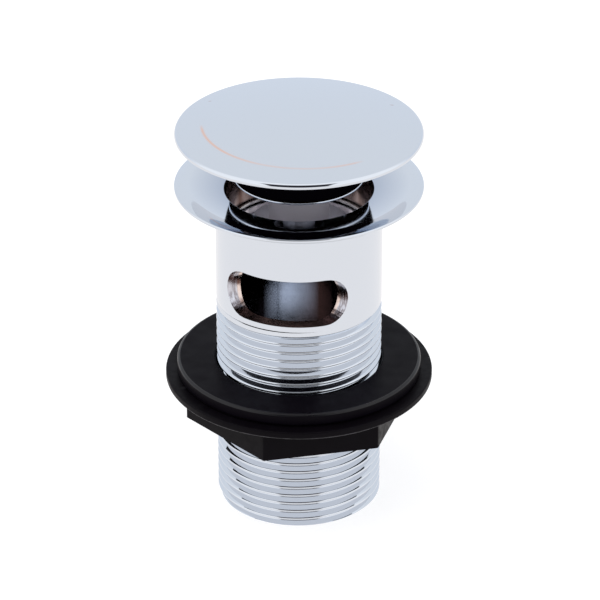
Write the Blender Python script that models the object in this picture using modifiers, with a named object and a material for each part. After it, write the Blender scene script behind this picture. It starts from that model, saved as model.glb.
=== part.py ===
"""Pop-up basin waste with a slotted, threaded tail.

The body hangs by its flange in the outlet of a wash basin. A rubber washer and a hexagonal back
nut clamp it from below. A plug with a domed cap stands over the flange on a spindle, and a click
mechanism in the throat holds it up or down: pressing the plug turns a cam ring, whose two pins
ride in helical tracks cut round the spindle.

Sizes are in millimetres. The tail's end face is at height 0 and the waste's axis is Z.
"""
import math

import bmesh
import bpy

MM = 0.001

# Clearances
FIT = 0.3                    # between pieces that touch, screw together or slide
RUNNING_FIT = 0.4            # round the washer that slides in the barrel's neck
SEAL_FIT = 0.35              # between the seal and the throat's edge when the plug is down
CUT = 1.0                    # how far a cutter runs past what it cuts

# Waste body
BODY_HEIGHT = 88.0           # tail end to the flange's rim
TAIL_RADIUS = 41.91 / 2      # outside a G 1 1/4 pipe thread, whose pitch is 2.309
TAIL_WALL = 3.355
TAIL_CHAMFER = 0.4
FLANGE_EDGE = 0.8            # thickness of the flange at its rim
FLANGE_DEPTH = 3.2           # rim down to the flat face that sits in the basin
SEAT_WIDTH = 6.545           # width of that flat face
FLANGE_LIP = 3.6             # how far the rim stands out past the flat face
DISH_FALL = 1.1              # how far the dished flange falls to the throat
THROAT_TAPER = 6.0           # height of the conical seat of the plug's seal
THROAT_FLARE = 0.45          # how far that seat widens
POCKET_STEP = 0.6            # width of the ledge that carries the bridge
LEDGE_DROP = 16.0            # flange rim down to that ledge
SLOT_DROP = 23.65            # flange rim down to the middle of the overflow slots
SLOT_HEIGHT = 12.7
SLOT_HALF_ANGLE = 46.9       # degrees, at the outside of the tail
SLOT_DRAFT = 2.4             # degrees that a slot's end leans in towards the bore
SLOT_TURN = -11.4            # degrees from the front to the middle of the front slot

# Bridge across the throat
BRIDGE_ARMS = 3
ARM_WIDTH = 4.5
ARM_HEIGHT = 2.0
BRIDGE_RING_HEIGHT = 2.5
BRIDGE_RING_WALL = 1.3
HUB_WALL = 4.3               # from the barrel's hole to the hub's edge
HUB_HEIGHT = 2.8
HUB_DROP = 1.4               # top of the ring down to the top of the hub
WINDOW_LIP = 0.4             # web left along the hub and the ring by the windows
SNAP_RING_HEIGHT = 0.8
SNAP_RING_REACH = 0.5        # how far the snap ring stands over the bridge's ring
SNAP_RING_GRIP = 0.4         # how far the snap ring sits in the wall of the throat

# Spindle, spring and click mechanism
SPINDLE_RADIUS = 3.6
STUD_RADIUS = 3.0
SPINDLE_FLAT = 2.9           # axis to the flat that keeps the spindle from turning
SPINDLE_CHAMFER = 0.5
TRACK_DEPTH = 1.2
TRACK_WIDTH = 2.0
TRACK_RUN_OUT = 1.8          # length of track past the pin at each end of the stroke
TRACK_LEVELS = 12
CAM_TURN = 40.0              # degrees that the cam ring turns over one press
CAM_PIN_RADIUS = 0.6
CAM_RING_HEIGHT = 2.8
CAM_RING_WALL = 1.6
CAM_WASHER_HEIGHT = 0.5
SPRING_WIRE = 0.9
SPRING_INNER_ROOM = 1.15     # radial room between the spindle and the spring
SPRING_OUTER_ROOM = 0.85     # radial room between the spring and the barrel
COIL_GAP = 0.12              # between the closed end turns of the spring
SPRING_TURNS = 7.0
SPRING_HEIGHT = 20.9
SEAT_WASHER_HEIGHT = 1.0
TOP_WASHER_HEIGHT = 0.8
LOCK_NUT_HEIGHT = 2.0
LOCK_NUT_FLATS = 9.4

# Barrel that holds the mechanism
NECK_WALL = 1.1
NECK_HEIGHT = 10.1           # above the barrel's flange
BARREL_FLANGE_LAP = 0.3      # how far the barrel's flange stands over the hub's edge
BARREL_FLANGE_HEIGHT = 2.0
HUB_WASHER_HEIGHT = 0.9
CHAMBER_HEIGHT = 4.2
CHAMBER_STEP = 0.7           # shoulder that carries the spring's seat
BARREL_FLOOR = 4.0
BUSH_WALL = 0.8
BUSH_FLANGE_HEIGHT = 0.9
BUSH_FLANGE_RADIUS = 6.6
CIRCLIP_HEIGHT = 0.9
CIRCLIP_DEPTH = 0.6          # depth of its groove in the barrel
CIRCLIP_WIDTH = 2.1
STOP_WASHER_HEIGHT = 0.7
STOP_WASHER_RADIUS = 6.0
STOP_CLIP_HEIGHT = 0.8
STOP_CLIP_RADIUS = 5.6
STOP_CLIP_DEPTH = 0.8        # depth of its groove in the spindle
CLIP_GAP = 50.0              # degrees left open in the spring clips

# Plug
OPEN_GAP = 13.0              # flange rim up to the cap when the plug is up
CLOSED_GAP = 1.0             # the same when the plug is pressed down
TRAVEL = OPEN_GAP - CLOSED_GAP
CAP_INSET = 0.25             # how far the cap's edge stands inside the flange's rim
CAP_EDGE = 1.3               # thickness of the cap at its rim
CAP_CROWN = 2.7              # how far the dome rises above its rim
CAP_ROUNDING = 0.6
CAP_SKIN = 2.6               # dome's thickness inside the skirt
SKIRT_WALL = 2.2
SKIRT_HEIGHT = 9.9
BOSS_RADIUS = 6.0
STUD_GRIP = 2.0              # how far the spindle's stud rises past the cap's rim
SEAL_WALL = 1.7              # at the seal's foot, outside the skirt
SEAL_SLACK = 2.35            # room round the seal's foot in the throat
SEAL_LAP = 0.75              # how far the seal's lip stands out over the throat's edge
RETAINER_PLATE = 0.55        # thin bright edge under the seal
RETAINER_STEP = 0.7
RETAINER_WALL = 1.9
RETAINER_HEIGHT = 6.4

# Basin washer and back nut
NUT_REST = 23.8              # tail end up to the nut
NUT_WALL = 4.245             # from the bore to the nut's flats
NUT_HEX_HEIGHT = 9.7
NUT_FLANGE_REACH = 4.555     # how far the flange stands out past the corners
NUT_FLANGE_HEIGHT = 1.9
NUT_TURN = -17.5             # degrees from the front to the nut's nearest corner
NUT_LEAD_IN = 1.4            # widening of the nut's bore at its ends
WASHER_WIDTH = 9.845
WASHER_HEIGHT = 3.2

# Facets
LARGE_STEPS = 56
BRIDGE_STEPS = 36
BARREL_STEPS = 32
SMALL_STEPS = 24
CLIP_STEP = 11.0             # degrees
COIL_POINTS = 14             # in one turn of the spring
DOME_RINGS = 5
EDGE_SEGMENTS = 1            # in an eased edge

# Radii that follow from the sizes above
BORE_RADIUS = TAIL_RADIUS - TAIL_WALL
POCKET_RADIUS = BORE_RADIUS + POCKET_STEP
THROAT_RADIUS = POCKET_RADIUS + THROAT_FLARE
SEAT_RADIUS = TAIL_RADIUS + SEAT_WIDTH
FLANGE_RADIUS = SEAT_RADIUS + FLANGE_LIP
CAP_RADIUS = FLANGE_RADIUS - CAP_INSET
BRIDGE_RADIUS = POCKET_RADIUS - FIT
BRIDGE_RING_INNER = BRIDGE_RADIUS - BRIDGE_RING_WALL
SPRING_RADIUS = SPINDLE_RADIUS + SPRING_INNER_ROOM + SPRING_WIRE / 2
NECK_BORE = SPRING_RADIUS + SPRING_WIRE / 2 + SPRING_OUTER_ROOM
BARREL_RADIUS = NECK_BORE + NECK_WALL
HUB_RADIUS = BARREL_RADIUS + FIT + HUB_WALL
BARREL_FLANGE_RADIUS = HUB_RADIUS + BARREL_FLANGE_LAP
CHAMBER_RADIUS = NECK_BORE - CHAMBER_STEP
BUSH_RADIUS = SPINDLE_RADIUS + FIT + BUSH_WALL
SEAL_LIP_RADIUS = THROAT_RADIUS + SEAL_LAP
SEAL_FOOT_RADIUS = THROAT_RADIUS - SEAL_SLACK
SKIRT_RADIUS = SEAL_FOOT_RADIUS - SEAL_WALL
NUT_BORE = TAIL_RADIUS + FIT
NUT_FLATS = 2 * (NUT_BORE + NUT_WALL)
NUT_CORNER_RADIUS = NUT_FLATS / 2 / math.cos(math.radians(30))
NUT_FLANGE_RADIUS = NUT_CORNER_RADIUS + NUT_FLANGE_REACH
WASHER_RADIUS = NUT_BORE + WASHER_WIDTH

# Heights that follow from the sizes above
LEDGE = BODY_HEIGHT - LEDGE_DROP
SLOT_MIDDLE = BODY_HEIGHT - SLOT_DROP
THROAT_EDGE = BODY_HEIGHT - DISH_FALL
BRIDGE_BASE = LEDGE + FIT
BRIDGE_TOP = BRIDGE_BASE + BRIDGE_RING_HEIGHT
HUB_TOP = BRIDGE_TOP - HUB_DROP
HUB_BASE = HUB_TOP - HUB_HEIGHT
SNAP_RING_BASE = BRIDGE_TOP + FIT
HUB_WASHER_BASE = HUB_TOP + FIT
BARREL_SEAT = HUB_WASHER_BASE + HUB_WASHER_HEIGHT + FIT
BARREL_FLANGE_TOP = BARREL_SEAT + BARREL_FLANGE_HEIGHT
CHAMBER_TOP = BARREL_SEAT - FIT
CHAMBER_BASE = CHAMBER_TOP - CHAMBER_HEIGHT
BARREL_BASE = CHAMBER_BASE - BARREL_FLOOR
BUSH_BASE = BARREL_BASE - FIT - BUSH_FLANGE_HEIGHT
CIRCLIP_BASE = HUB_BASE - FIT - CIRCLIP_HEIGHT
CAM_WASHER_BASE = CHAMBER_BASE + FIT
CAM_RING_BASE = CAM_WASHER_BASE + CAM_WASHER_HEIGHT + FIT
CAM_PIN_HEIGHT = CAM_RING_BASE + CAM_RING_HEIGHT / 2
SEAT_WASHER_BASE = CHAMBER_TOP + FIT
SPRING_BASE = SEAT_WASHER_BASE + SEAT_WASHER_HEIGHT + FIT
TOP_WASHER_BASE = SPRING_BASE + SPRING_HEIGHT + FIT
LOCK_NUT_BASE = TOP_WASHER_BASE + TOP_WASHER_HEIGHT + FIT
STOP_WASHER_BASE = BUSH_BASE - FIT - STOP_WASHER_HEIGHT
STOP_CLIP_BASE = STOP_WASHER_BASE - FIT - STOP_CLIP_HEIGHT
SPINDLE_BASE = STOP_CLIP_BASE - 2 * FIT - SPINDLE_CHAMFER
SHOULDER = TOP_WASHER_BASE - FIT
CAP_BASE = BODY_HEIGHT + OPEN_GAP
SEAL_BASE = CAP_BASE - SKIRT_HEIGHT - RETAINER_STEP
RETAINER_BASE = SEAL_BASE - FIT - RETAINER_PLATE
NUT_TOP = NUT_REST + NUT_HEX_HEIGHT + NUT_FLANGE_HEIGHT


def collection(name):
    made = bpy.data.collections.new(name)
    bpy.context.scene.collection.children.link(made)
    return made


def material(name, colour, roughness, metallic):
    made = bpy.data.materials.new(name)
    made.use_nodes = True
    shader = made.node_tree.nodes["Principled BSDF"]
    shader.inputs["Base Color"].default_value = (*colour, 1.0)
    shader.inputs["Roughness"].default_value = roughness
    shader.inputs["Metallic"].default_value = metallic
    made.diffuse_color = (*colour, 1.0)
    return made


def place(name, mesh, finish, base=0.0):
    """Link a mesh as a part whose origin is on the waste's axis at height base."""
    part = bpy.data.objects.new(name, mesh)
    part.location.z = base * MM
    if finish is None:
        cutters.objects.link(part)
        part.hide_render = True
        part.display_type = "WIRE"
    else:
        mesh.materials.append(finish)
        parts.objects.link(part)
    return part


def rounded(outline, closed, segments):
    """Replace each corner (radius, height, rounding) of an outline by an arc."""
    count = len(outline)
    points = []
    for index, (x, z, *rounding) in enumerate(outline):
        inner = closed or 0 < index < count - 1
        if not rounding or not rounding[0] or not inner:
            points.append((x, z))
            continue
        before = outline[index - 1]
        after = outline[(index + 1) % count]
        ax, az = before[0] - x, before[1] - z
        bx, bz = after[0] - x, after[1] - z
        a_len, b_len = math.hypot(ax, az), math.hypot(bx, bz)
        ax, az, bx, bz = ax / a_len, az / a_len, bx / b_len, bz / b_len
        half = math.acos(max(-1.0, min(1.0, ax * bx + az * bz))) / 2
        reach = min(rounding[0] / math.tan(half), 0.45 * a_len, 0.45 * b_len)
        radius = reach * math.tan(half)
        mx, mz = ax + bx, az + bz
        m_len = math.hypot(mx, mz)
        cx, cz = x + mx / m_len * radius / math.sin(half), z + mz / m_len * radius / math.sin(half)
        start = math.atan2(z + az * reach - cz, x + ax * reach - cx)
        stop = math.atan2(z + bz * reach - cz, x + bx * reach - cx)
        sweep = (stop - start + math.pi) % (2 * math.pi) - math.pi
        for step in range(segments + 1):
            turn = start + sweep * step / segments
            points.append((cx + radius * math.cos(turn), cz + radius * math.sin(turn)))
    return points


def turned(name, outline, finish, base=0.0, closed=True, steps=SMALL_STEPS, segments=EDGE_SEGMENTS):
    """Turn an outline of (radius, height) about the axis. It runs down its outer side."""
    points = rounded(outline, closed, segments)
    mesh = bpy.data.meshes.new(name)
    edges = [(i, i + 1) for i in range(len(points) - 1)]
    if closed:
        edges.append((len(points) - 1, 0))
    mesh.from_pydata([(x * MM, 0.0, z * MM) for x, z in points], edges, [])
    part = place(name, mesh, finish, base)
    screw = part.modifiers.new("Turn", "SCREW")
    screw.axis = "Z"
    screw.angle = 2 * math.pi
    screw.steps = screw.render_steps = steps
    screw.use_merge_vertices = True
    screw.merge_threshold = 0.00001
    return part


def ring(inner, outer, height, edge=0.0):
    """Outline of a flat ring that stands on height 0."""
    return [(inner, height, edge), (outer, height, edge), (outer, 0.0, edge), (inner, 0.0, edge)]


def prism(name, corners, bottom, top, finish=None, base=0.0):
    """Stand a flat outline of (x, y) up between two heights."""
    form = bmesh.new()
    face = form.faces.new([form.verts.new((x * MM, y * MM, bottom * MM)) for x, y in corners])
    if face.normal.z > 0:
        face.normal_flip()
    raised = bmesh.ops.extrude_face_region(form, geom=[face])["geom"]
    lift = [item for item in raised if isinstance(item, bmesh.types.BMVert)]
    bmesh.ops.translate(form, verts=lift, vec=(0.0, 0.0, (top - bottom) * MM))
    bmesh.ops.recalc_face_normals(form, faces=form.faces)
    mesh = bpy.data.meshes.new(name)
    form.to_mesh(mesh)
    form.free()
    return place(name, mesh, finish, base)


def sector(inner, outer, middle, half):
    """Outline of a ring's sector, in degrees from the front (-Y) towards +X."""
    count = max(2, math.ceil(half / CLIP_STEP) * 2)
    turns = [math.radians(middle - half + 2 * half * i / count) for i in range(count + 1)]
    outside = [(outer * math.sin(t), -outer * math.cos(t)) for t in turns]
    inside = [(inner * math.sin(t), -inner * math.cos(t)) for t in reversed(turns)]
    return outside + inside


def hexagon(flats, corner):
    """Outline of a hexagon with one corner at the angle given, from the front towards +X."""
    reach = flats / 2 / math.cos(math.radians(30))
    turns = [math.radians(corner + 60 * i) for i in range(6)]
    return [(reach * math.sin(t), -reach * math.cos(t)) for t in turns]


def combine(part, other, operation="DIFFERENCE"):
    modifier = part.modifiers.new(other.name, "BOOLEAN")
    modifier.operation = operation
    modifier.solver = "EXACT"
    modifier.object = other


def loft(name, sections):
    """Skin a stack of closed sections that have as many points each."""
    form = bmesh.new()
    rings = [[form.verts.new([c * MM for c in point]) for point in section] for section in sections]
    for low, high in zip(rings, rings[1:]):
        for i in range(len(low)):
            j = (i + 1) % len(low)
            form.faces.new((low[i], low[j], high[j], high[i]))
    form.faces.new(rings[0])
    form.faces.new(rings[-1])
    bmesh.ops.recalc_face_normals(form, faces=form.faces)
    mesh = bpy.data.meshes.new(name)
    form.to_mesh(mesh)
    form.free()
    return place(name, mesh, None)


def slot_cutter(name, turn):
    """Overflow slot: a long hole with round ends that follows the wall of the tail.

    Each section is a column across the wall. The columns run round the tail from one end of the
    slot to the other and shrink with the round ends, which lean in towards the bore.
    """
    end_angle = math.degrees(SLOT_HEIGHT / 2 / TAIL_RADIUS)
    run = SLOT_HALF_ANGLE - end_angle
    straight = [i / 6 for i in range(-6, 7)]
    bends = [math.sin(math.radians(a)) for a in (15, 30, 45, 60, 75, 88)]
    places = [(-run / SLOT_HALF_ANGLE, -b) for b in reversed(bends)]
    places += [(s * run / SLOT_HALF_ANGLE, 0.0) for s in straight]
    places += [(run / SLOT_HALF_ANGLE, b) for b in bends]
    radii = (BORE_RADIUS - CUT, TAIL_RADIUS + CUT)
    wall = TAIL_RADIUS - BORE_RADIUS
    sections = []
    for share, bend in places:
        half = SLOT_HEIGHT / 2 * math.sqrt(1 - bend * bend)
        column = []
        for radius, ends in ((radii[0], (-1, 1)), (radii[1], (1, -1))):
            lean = SLOT_DRAFT * (TAIL_RADIUS - radius) / wall
            spread = SLOT_HALF_ANGLE - lean
            angle = share * spread + bend * end_angle * spread / SLOT_HALF_ANGLE
            t = math.radians(angle + turn)
            for end in ends:
                height = SLOT_MIDDLE + end * half
                column.append((radius * math.sin(t), -radius * math.cos(t), height))
        sections.append(column)
    return loft(name, sections)


def track_cutter(name, turn):
    """Helical track for one pin of the cam ring, as a stack of turned sections."""
    bottom = CAM_PIN_HEIGHT - TRACK_RUN_OUT
    top = CAM_PIN_HEIGHT + TRAVEL + TRACK_RUN_OUT
    floor = SPINDLE_RADIUS - TRACK_DEPTH
    half = TRACK_WIDTH / 2
    corners = [(floor, -half), (SPINDLE_RADIUS + CUT, -half), (SPINDLE_RADIUS + CUT, half), (floor, half)]
    sections = []
    for level in range(TRACK_LEVELS + 1):
        height = bottom + (top - bottom) * level / TRACK_LEVELS
        angle = turn + CAM_TURN * ((height - CAM_PIN_HEIGHT) / TRAVEL - 0.5)
        t = math.radians(angle)
        cos, sin = math.cos(t), math.sin(t)
        sections.append([(x * cos - y * sin, x * sin + y * cos, height) for x, y in corners])
    return loft(name, sections)


def spring_clip(name, inner, outer, height, finish, base, gap_at=180.0):
    """Open ring cut from spring steel, with its gap at the angle given."""
    half = 180.0 - CLIP_GAP / 2
    return prism(name, sector(inner, outer, gap_at + 180.0, half), 0.0, height, finish, base)


def waste_body():
    """Flange, throat and threaded tail in one forging, with two overflow slots."""
    seat = BODY_HEIGHT - FLANGE_DEPTH
    groove = POCKET_RADIUS + SNAP_RING_GRIP + FIT
    groove_base = SNAP_RING_BASE - FIT
    groove_top = SNAP_RING_BASE + SNAP_RING_HEIGHT + FIT
    outline = [
        (THROAT_RADIUS, THROAT_EDGE, 0.3),
        (FLANGE_RADIUS, BODY_HEIGHT, 0.4),
        (FLANGE_RADIUS, BODY_HEIGHT - FLANGE_EDGE),
        (SEAT_RADIUS, seat),
        (TAIL_RADIUS, seat, 0.6),
        (TAIL_RADIUS, TAIL_CHAMFER),
        (TAIL_RADIUS - TAIL_CHAMFER, 0.0),
        (BORE_RADIUS, 0.0),
        (BORE_RADIUS, LEDGE),
        (POCKET_RADIUS, LEDGE),
        (POCKET_RADIUS, groove_base),
        (groove, groove_base),
        (groove, groove_top),
        (POCKET_RADIUS, groove_top),
        (POCKET_RADIUS, THROAT_EDGE - THROAT_TAPER),
    ]
    body = turned("waste_body", outline, chrome, steps=LARGE_STEPS)
    combine(body, slot_cutter("front_slot_cutter", SLOT_TURN))
    combine(body, slot_cutter("rear_slot_cutter", SLOT_TURN + 180.0))


def mechanism_bridge():
    """Turned web on the throat's ledge; the windows cut from it leave its arms."""
    arm_top = HUB_TOP - 0.2
    outline = [
        (BARREL_RADIUS + FIT, HUB_TOP),
        (HUB_RADIUS, HUB_TOP),
        (HUB_RADIUS, arm_top),
        (BRIDGE_RING_INNER, arm_top),
        (BRIDGE_RING_INNER, BRIDGE_TOP),
        (BRIDGE_RADIUS, BRIDGE_TOP, 0.3),
        (BRIDGE_RADIUS, BRIDGE_BASE),
        (BORE_RADIUS - FIT, BRIDGE_BASE),
        (BRIDGE_RING_INNER, arm_top - ARM_HEIGHT),
        (HUB_RADIUS, arm_top - ARM_HEIGHT),
        (HUB_RADIUS, HUB_BASE, 0.3),
        (BARREL_RADIUS + FIT, HUB_BASE),
    ]
    bridge = turned("mechanism_bridge", outline, chrome, steps=BRIDGE_STEPS)
    arm_half = math.degrees(ARM_WIDTH / (HUB_RADIUS + BRIDGE_RING_INNER))
    window_half = 180.0 / BRIDGE_ARMS - arm_half
    for number in range(BRIDGE_ARMS):
        turn = 360.0 / BRIDGE_ARMS * (number + 0.5)
        window = sector(HUB_RADIUS + WINDOW_LIP, BRIDGE_RING_INNER - WINDOW_LIP, turn, window_half)
        combine(bridge, prism(f"bridge_window_cutter_{number}", window, HUB_BASE - CUT, BRIDGE_TOP + CUT))
    spring_clip("bridge_snap_ring", BRIDGE_RADIUS - SNAP_RING_REACH, POCKET_RADIUS + SNAP_RING_GRIP,
                SNAP_RING_HEIGHT, spring_steel, SNAP_RING_BASE)


def clicker_barrel():
    """Barrel that drops through the bridge's hub and holds the spring and the cam ring."""
    groove_base = CIRCLIP_BASE - FIT
    groove_top = HUB_BASE
    core = BARREL_RADIUS - CIRCLIP_DEPTH
    bush_hole = BUSH_RADIUS + FIT
    outline = [
        (NECK_BORE, BARREL_FLANGE_TOP + NECK_HEIGHT, 0.3),
        (BARREL_RADIUS, BARREL_FLANGE_TOP + NECK_HEIGHT, 0.4),
        (BARREL_RADIUS, BARREL_FLANGE_TOP, 0.3),
        (BARREL_FLANGE_RADIUS, BARREL_FLANGE_TOP, 0.4),
        (BARREL_FLANGE_RADIUS, BARREL_SEAT, 0.3),
        (BARREL_RADIUS, BARREL_SEAT),
        (BARREL_RADIUS, groove_top),
        (core, groove_top),
        (core, groove_base),
        (BARREL_RADIUS, groove_base),
        (BARREL_RADIUS, BARREL_BASE, 0.5),
        (bush_hole, BARREL_BASE),
        (bush_hole, CHAMBER_BASE),
        (CHAMBER_RADIUS, CHAMBER_BASE),
        (CHAMBER_RADIUS, CHAMBER_TOP),
        (NECK_BORE, CHAMBER_TOP),
    ]
    turned("clicker_barrel", outline, chrome, steps=BARREL_STEPS)
    hub_seal = ring(BARREL_RADIUS + FIT, HUB_RADIUS, HUB_WASHER_HEIGHT)
    turned("hub_washer", hub_seal, rubber, HUB_WASHER_BASE)
    spring_clip("barrel_circlip", core + FIT, core + FIT + CIRCLIP_WIDTH, CIRCLIP_HEIGHT,
                spring_steel, CIRCLIP_BASE, gap_at=0.0)


def guide_bush():
    """Bush in the barrel's floor; its flat-sided hole keeps the spindle from turning."""
    foot = BUSH_FLANGE_HEIGHT
    top = BUSH_FLANGE_HEIGHT + BARREL_FLOOR
    outline = [
        (0.0, top),
        (BUSH_RADIUS, top, 0.2),
        (BUSH_RADIUS, foot),
        (BUSH_FLANGE_RADIUS, foot, 0.2),
        (BUSH_FLANGE_RADIUS, 0.0, 0.2),
        (0.0, 0.0),
    ]
    bush = turned("guide_bush", outline, plastic, BUSH_BASE, closed=False)
    hole = SPINDLE_RADIUS + FIT
    flat = SPINDLE_FLAT + FIT
    reach = math.acos(flat / hole)
    span = 2 * math.pi - 2 * reach
    turns = [math.pi / 2 + reach + span * i / 28 for i in range(29)]
    outline = [(hole * math.cos(t), hole * math.sin(t)) for t in turns]
    combine(bush, prism("bush_hole_cutter", outline, BUSH_BASE - CUT, BUSH_BASE + top + CUT))


def cam_ring():
    """Ring that turns in the barrel, with two pins in the spindle's tracks."""
    inner = SPINDLE_RADIUS + FIT
    outer = inner + CAM_RING_WALL
    thrust = ring(inner, CHAMBER_RADIUS - FIT, CAM_WASHER_HEIGHT)
    turned("cam_washer", thrust, spring_steel, CAM_WASHER_BASE)
    cam = turned("cam_ring", ring(inner, outer, CAM_RING_HEIGHT, 0.2), plastic, CAM_RING_BASE)
    tip = SPINDLE_RADIUS - TRACK_DEPTH + FIT
    root = inner + CAM_RING_WALL / 2
    middle = (tip + root) / 2
    for number in range(2):
        turn = math.radians(180 * number - CAM_TURN / 2)
        form = bmesh.new()
        bmesh.ops.create_cone(form, cap_ends=True, segments=12, radius1=CAM_PIN_RADIUS * MM,
                              radius2=CAM_PIN_RADIUS * MM, depth=(root - tip) * MM)
        mesh = bpy.data.meshes.new(f"cam_pin_{number}")
        form.to_mesh(mesh)
        form.free()
        pin = place(f"cam_pin_{number}", mesh, None, CAM_PIN_HEIGHT)
        pin.location.x = middle * math.cos(turn) * MM
        pin.location.y = middle * math.sin(turn) * MM
        pin.rotation_euler = (0.0, math.pi / 2, turn)
        combine(cam, pin, "UNION")


def return_spring():
    """Coil spring that lifts the plug, with a closed turn at each end."""
    turned("spring_seat", ring(SPINDLE_RADIUS + FIT, NECK_BORE - FIT, SEAT_WASHER_HEIGHT, 0.2),
           spring_steel, SEAT_WASHER_BASE)
    curve = bpy.data.curves.new("return_spring_wire", "CURVE")
    curve.dimensions = "3D"
    curve.bevel_depth = SPRING_WIRE / 2 * MM
    curve.bevel_resolution = 2
    curve.use_fill_caps = True
    count = int(SPRING_TURNS * COIL_POINTS) + 1
    rise = SPRING_HEIGHT - SPRING_WIRE
    closed_rise = SPRING_WIRE + COIL_GAP
    spline = curve.splines.new("POLY")
    spline.points.add(count - 1)
    for index in range(count):
        turns = index / COIL_POINTS
        if turns < 1:
            height = closed_rise * turns
        elif turns > SPRING_TURNS - 1:
            height = rise - closed_rise * (SPRING_TURNS - turns)
        else:
            share = (turns - 1) / (SPRING_TURNS - 2)
            height = closed_rise + (rise - 2 * closed_rise) * share
        t = 2 * math.pi * turns
        spline.points[index].co = (SPRING_RADIUS * math.cos(t) * MM, SPRING_RADIUS * math.sin(t) * MM,
                                   (SPRING_WIRE / 2 + height) * MM, 1.0)
    curve.materials.append(spring_steel)
    spring = bpy.data.objects.new("return_spring", curve)
    spring.location.z = SPRING_BASE * MM
    parts.objects.link(spring)


def plug_spindle():
    """Spindle with its helical cam tracks, anti-turn flat, clip groove and stud."""
    core = SPINDLE_RADIUS - STOP_CLIP_DEPTH
    groove_base = STOP_CLIP_BASE - FIT
    groove_top = STOP_CLIP_BASE + STOP_CLIP_HEIGHT + FIT
    stud_top = CAP_BASE + STUD_GRIP
    outline = [
        (0.0, stud_top),
        (STUD_RADIUS, stud_top, 0.5),
        (STUD_RADIUS, SHOULDER),
        (SPINDLE_RADIUS, SHOULDER, 0.3),
        (SPINDLE_RADIUS, groove_top),
        (core, groove_top),
        (core, groove_base),
        (SPINDLE_RADIUS, groove_base),
        (SPINDLE_RADIUS, SPINDLE_BASE + SPINDLE_CHAMFER),
        (SPINDLE_RADIUS - SPINDLE_CHAMFER, SPINDLE_BASE),
        (0.0, SPINDLE_BASE),
    ]
    spindle = turned("plug_spindle", outline, chrome, closed=False)
    spindle.parent = plug
    wide = SPINDLE_RADIUS + CUT
    flat = [(-wide, SPINDLE_FLAT), (wide, SPINDLE_FLAT), (wide, wide), (-wide, wide)]
    flat_top = BUSH_BASE + BUSH_FLANGE_HEIGHT + BARREL_FLOOR + TRAVEL + 2 * FIT
    combine(spindle, prism("spindle_flat_cutter", flat, SPINDLE_BASE - CUT, flat_top))
    combine(spindle, track_cutter("track_cutter_0", 0.0))
    combine(spindle, track_cutter("track_cutter_1", 180.0))

    stop_inner = SPINDLE_RADIUS + FIT
    stop = ring(stop_inner, STOP_WASHER_RADIUS, STOP_WASHER_HEIGHT)
    washer = turned("stop_washer", stop, rubber, STOP_WASHER_BASE)
    clip = spring_clip("stop_clip", core + FIT, STOP_CLIP_RADIUS, STOP_CLIP_HEIGHT, spring_steel,
                       STOP_CLIP_BASE, gap_at=0.0)
    top_ring = ring(STUD_RADIUS + FIT, NECK_BORE - RUNNING_FIT, TOP_WASHER_HEIGHT, 0.2)
    top_washer = turned("spring_top_washer", top_ring, spring_steel, TOP_WASHER_BASE)
    nut = prism("plug_lock_nut", hexagon(LOCK_NUT_FLATS, 0.0), 0.0, LOCK_NUT_HEIGHT, chrome, LOCK_NUT_BASE)
    hole = STUD_RADIUS + FIT
    bore = [(0.0, LOCK_NUT_HEIGHT + CUT), (hole, LOCK_NUT_HEIGHT + CUT), (hole, -CUT), (0.0, -CUT)]
    combine(nut, turned("lock_nut_bore_cutter", bore, None, LOCK_NUT_BASE, closed=False))
    for piece in (washer, clip, top_washer, nut):
        piece.parent = plug


def plug_cap():
    """Domed cap with a skirt for the seal and a boss for the spindle."""
    ceiling = CAP_EDGE + CAP_CROWN - CAP_SKIN
    boss_base = LOCK_NUT_BASE + LOCK_NUT_HEIGHT + FIT - CAP_BASE
    hole_top = STUD_GRIP + FIT
    bulge = (CAP_RADIUS ** 2 + CAP_CROWN ** 2) / (2 * CAP_CROWN)
    dome = []
    for step in range(DOME_RINGS):
        radius = CAP_RADIUS * step / DOME_RINGS
        dome.append((radius, CAP_EDGE + CAP_CROWN - bulge + math.sqrt(bulge ** 2 - radius ** 2)))
    outline = dome + [
        (CAP_RADIUS, CAP_EDGE, CAP_ROUNDING),
        (CAP_RADIUS, 0.0, 0.3),
        (SKIRT_RADIUS, 0.0),
        (SKIRT_RADIUS, -SKIRT_HEIGHT),
        (SKIRT_RADIUS - SKIRT_WALL, -SKIRT_HEIGHT),
        (SKIRT_RADIUS - SKIRT_WALL, ceiling),
        (BOSS_RADIUS, ceiling),
        (BOSS_RADIUS, boss_base),
        (STUD_RADIUS + FIT, boss_base),
        (STUD_RADIUS + FIT, hole_top),
        (0.0, hole_top),
    ]
    cap = turned("plug_cap", outline, chrome, CAP_BASE, closed=False, steps=LARGE_STEPS, segments=2)
    cap.parent = plug


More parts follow.
